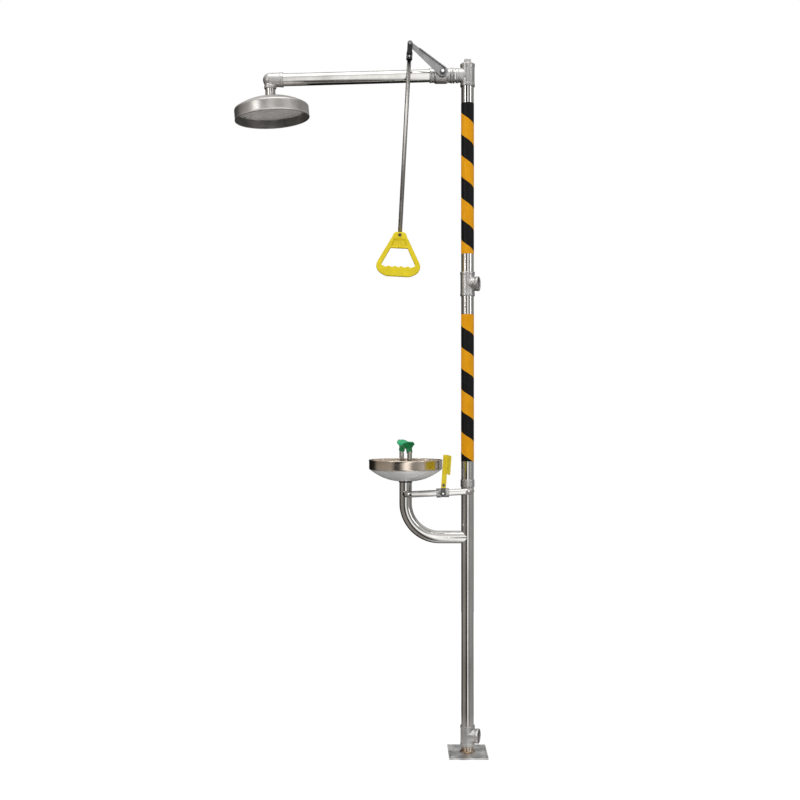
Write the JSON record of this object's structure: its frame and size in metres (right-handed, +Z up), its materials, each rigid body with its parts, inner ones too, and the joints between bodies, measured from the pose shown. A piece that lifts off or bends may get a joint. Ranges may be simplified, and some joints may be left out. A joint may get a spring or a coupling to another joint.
{
  "type": "emergency shower and eyewash station",
  "caption": "Floor-standing pipe column with an overhead drench shower worked by a hanging pull handle, and an eyewash bowl with capped spray nozzles and a push plate.",
  "frame": {"origin": "centre of the floor bolt pattern on the underside of the base plate, on the column's axis", "axes": "+Z up the column; the shower arm and the eyewash bowl reach along -X; the levers and the pull rod are on the -Y side"},
  "size_m": [0.849, 0.2712, 2.3775],
  "materials": {
    "pipe_steel": "satin brushed stainless pipe",
    "plate_steel": "rolled and ground stainless plate",
    "cast_steel": "investment-cast stainless, lightly grained",
    "polished_steel": "spun and polished stainless sheet",
    "bright_steel": "turned bright stainless",
    "seat_plastic": "white moulded seat plastic",
    "hazard_film": "gloss film with slanting orange-yellow and black stripes",
    "black_nylon": "moulded black nylon",
    "yellow_plastic": "gloss moulded yellow plastic",
    "yellow_coating": "yellow powder coat on steel plate",
    "green_plastic": "gloss moulded green plastic",
    "black_rubber": "black rubber"
  },
  "bodies": {
    "station": {"base_nipple": "pipe_steel", "lower_column": "pipe_steel", "column_partition": "pipe_steel", "middle_column": "pipe_steel", "upper_column": "pipe_steel", "valve_nipple": "pipe_steel", "shower_arm": "pipe_steel", "head_nipple": "pipe_steel", "drain_bend": "pipe_steel", "eyewash_riser": "pipe_steel", "nozzle_manifold": "pipe_steel", "nozzle_stems": "pipe_steel", "bar_bowl_side": "pipe_steel", "bar_column_side": "pipe_steel", "base_plate": "plate_steel", "waste_tee": "cast_steel", "column_coupling": "cast_steel", "supply_tee": "cast_steel", "top_tee": "cast_steel", "top_plug": "cast_steel", "shower_valve_body": "cast_steel", "shower_valve_end": "cast_steel", "arm_elbow": "cast_steel", "eyewash_valve_body": "cast_steel", "shower_head_shell": "polished_steel", "spray_plate": "polished_steel", "eyewash_bowl": "polished_steel", "bowl_strainer": "polished_steel", "shower_valve_gland": "bright_steel", "head_locknut": "bright_steel", "spray_plate_screws": "bright_steel", "cap_pin_near": "bright_steel", "cap_pin_far": "bright_steel", "eyewash_valve_gland": "bright_steel", "shower_valve_seats": "seat_plastic", "eyewash_valve_seats": "seat_plastic", "upper_hazard_sleeve": "hazard_film", "lower_hazard_sleeve": "hazard_film", "nozzle_near": "green_plastic", "nozzle_far": "green_plastic", "drain_gasket": "black_rubber"},
    "shower_lever": {"shower_lever": "plate_steel", "shower_lever_nut": "bright_steel", "shower_valve_stem": "bright_steel", "shower_valve_ball": "bright_steel"},
    "link_pin": {"link_pin": "bright_steel"},
    "pull_link": {"pull_link": "black_nylon"},
    "pull_rod": {"pull_rod": "bright_steel", "rod_nut": "bright_steel", "pull_handle": "yellow_plastic", "handle_screw": "bright_steel"},
    "push_lever": {"push_bracket": "plate_steel", "push_plate": "yellow_coating", "push_plate_rivet": "bright_steel", "eyewash_valve_stem": "bright_steel", "eyewash_valve_ball": "bright_steel"},
    "dust_cap_near": {"dust_cap_near": "green_plastic"},
    "dust_cap_far": {"dust_cap_far": "green_plastic"}
  },
  "joints": [
    {"name": "shower_lever_turn", "type": "hinge", "parent": "station", "child": "shower_lever", "pos_m": [-0.0855, -0.047, 2.277], "axis": [0, -1, 0], "range_deg": [0, 90]},
    {"name": "link_pin_level", "type": "hinge", "parent": "shower_lever", "child": "link_pin", "pos_m": [-0.19364, -0.047, 2.36903], "axis": [0, -1, 0], "range_deg": [-90, 0]},
    {"name": "pull_swing", "type": "hinge", "parent": "link_pin", "child": "pull_link", "pos_m": [-0.19364, -0.047, 2.36903], "axis": [0, -1, 0], "range_deg": [-15, 9]},
    {"name": "rod_swivel", "type": "hinge", "parent": "pull_link", "child": "pull_rod", "pos_m": [-0.19364, -0.047, 2.36903], "axis": [-0.0532, 0, -0.9986], "continuous": true},
    {"name": "push_plate_turn", "type": "hinge", "parent": "station", "child": "push_lever", "pos_m": [-0.085, -0.06635, 0.87765], "axis": [0, 1, 0], "range_deg": [0, 90]},
    {"name": "dust_cap_near_flip", "type": "hinge", "parent": "station", "child": "dust_cap_near", "pos_m": [-0.19127, -0.04596, 1.04367], "axis": [0.9397, 0.342, 0], "range_deg": [0, 110]},
    {"name": "dust_cap_far_flip", "type": "hinge", "parent": "station", "child": "dust_cap_far", "pos_m": [-0.22473, 0.04596, 1.04867], "axis": [-0.9397, -0.342, 0], "range_deg": [0, 110]}
  ],
  "couplings": [
    {"joint": "link_pin_level", "follows": "shower_lever_turn", "ratio": -1}
  ]
}
